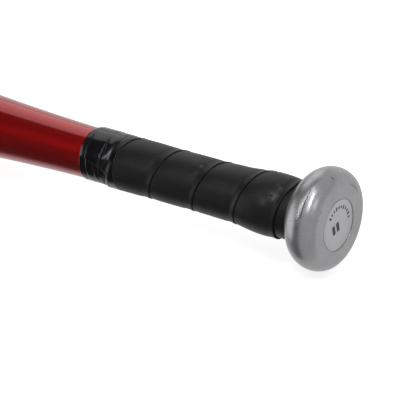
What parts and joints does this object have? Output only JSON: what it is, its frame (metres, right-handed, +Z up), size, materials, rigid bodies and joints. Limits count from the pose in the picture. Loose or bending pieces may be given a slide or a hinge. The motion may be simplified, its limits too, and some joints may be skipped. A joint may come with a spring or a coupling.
{
  "type": "baseball bat",
  "caption": "Short aluminium baseball bat with a tapered red tube, a helically wrapped handle grip, a polished knob and a moulded end cap.",
  "frame": {"origin": "on the bat's axis, in the plane of the knob's end face", "axes": "+X along the bat's axis, out of the knob, so the barrel lies along -X; +Z up, with the bat lying on its side"},
  "size_m": [0.508, 0.054, 0.054],
  "materials": {
    "red_aluminium": "gloss",
    "knob_aluminium": "satin",
    "weld_bead": "satin",
    "black_plastic": "matte",
    "label_film": "satin",
    "adhesive_tape": "matte",
    "grip_rubber": "matte",
    "pvc_tape": "gloss",
    "foam": "matte"
  },
  "bodies": {
    "root": {"shaft_tube": "red_aluminium", "knob": "knob_aluminium", "knob_weld": "weld_bead", "knob_plug": "black_plastic", "knob_label": "label_film", "grip_adhesive": "adhesive_tape", "grip_anchor_turn": "grip_rubber", "grip_wrap": "grip_rubber", "finishing_tape": "pvc_tape", "handle_foam": "foam", "end_cap": "black_plastic"}
  },
  "joints": []
}
